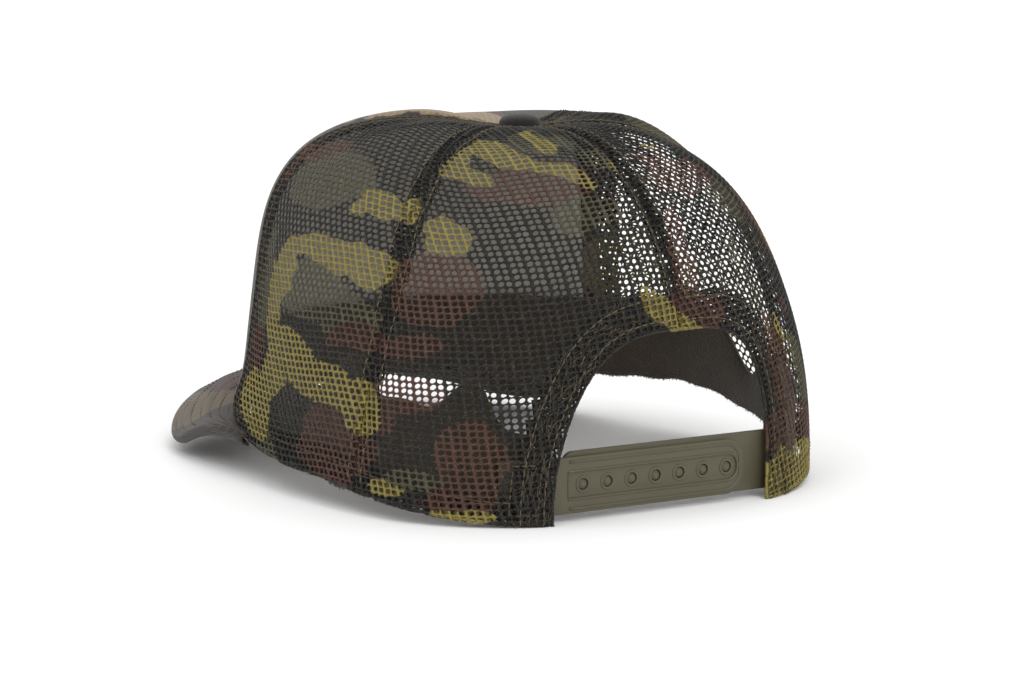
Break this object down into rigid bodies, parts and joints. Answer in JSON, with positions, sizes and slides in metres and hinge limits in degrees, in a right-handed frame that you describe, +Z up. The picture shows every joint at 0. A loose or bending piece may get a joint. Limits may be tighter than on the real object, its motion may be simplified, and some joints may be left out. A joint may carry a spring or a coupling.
{
  "type": "trucker cap",
  "caption": "Structured cap with a camouflage twill front and visor, open mesh back panels, a rear arch opening and a plastic snap strap.",
  "frame": {"origin": "a point on the floor under the button, which the crown's plan is drawn about", "axes": "+Z up; the visor points to -Y and the snap strap is at +Y; the wearer's left is +X"},
  "size_m": [0.1862, 0.2458, 0.1251],
  "materials": {
    "camo_twill": "cotton-blend twill printed in woodland camouflage, matt",
    "camo_mesh": "hexagonal nylon mesh printed in woodland camouflage",
    "seam_mesh": "the same mesh folded double",
    "foam": "light grey foam-backed lining",
    "brushed_band": "brushed dark olive-brown cotton",
    "board": "pressed board",
    "olive_plastic": "moulded, satin",
    "button_cloth": "dark brown twill",
    "tinplate": "pressed tinplate",
    "khaki_thread": "khaki sewing thread"
  },
  "bodies": {
    "crown": {"front_panel": "camo_twill", "front_lining": "foam", "left_side_panel": "camo_mesh", "right_side_panel": "camo_mesh", "left_rear_panel": "camo_mesh", "right_rear_panel": "camo_mesh", "left_front_seam": "seam_mesh", "right_front_seam": "seam_mesh", "left_side_seam": "seam_mesh", "right_side_seam": "seam_mesh", "back_seam": "seam_mesh", "left_lower_hem": "seam_mesh", "right_lower_hem": "seam_mesh", "left_sweatband": "brushed_band", "right_sweatband": "brushed_band", "visor_top_cover": "camo_twill", "visor_board": "board", "visor_under_cover": "camo_twill", "button_cover": "button_cloth", "button_shell": "tinplate", "button_washer": "tinplate"},
    "left_corner": {"left_arch_hem": "seam_mesh", "left_strap_stitching": "khaki_thread"},
    "right_corner": {"right_arch_hem": "seam_mesh", "right_strap_stitching": "khaki_thread"},
    "outer_strap_body": {"outer_strap": "olive_plastic"},
    "inner_strap_body": {"inner_strap": "olive_plastic"}
  },
  "joints": [
    {"name": "left_size_slide", "type": "slide", "parent": "crown", "child": "left_corner", "axis": [0.9932, -0.1167, 0], "range_m": [0, 0.0282], "deforming": ["left_rear_panel", "left_arch_hem", "left_lower_hem", "left_sweatband", "left_side_seam", "left_strap_stitching", "left_side_panel"]},
    {"name": "right_size_slide", "type": "slide", "parent": "crown", "child": "right_corner", "axis": [-0.9932, 0.1167, 0], "range_m": [0, 0.0282], "deforming": ["right_rear_panel", "right_arch_hem", "right_lower_hem", "right_sweatband", "right_side_seam", "right_strap_stitching", "right_side_panel"]},
    {"name": "outer_strap_peel", "type": "hinge", "parent": "left_corner", "child": "outer_strap_body", "pos_m": [0.05366, 0.07968, 0.012], "axis": [0, 0, -1], "range_deg": [0, 80], "deforming": ["outer_strap"]},
    {"name": "inner_strap_flex", "type": "hinge", "parent": "right_corner", "child": "inner_strap_body", "pos_m": [-0.03374, 0.08995, 0.012], "axis": [0, 0, -1], "range_deg": [0, 40], "deforming": ["inner_strap"]}
  ],
  "couplings": [
    {"joint": "right_size_slide", "follows": "left_size_slide", "ratio": 1}
  ]
}
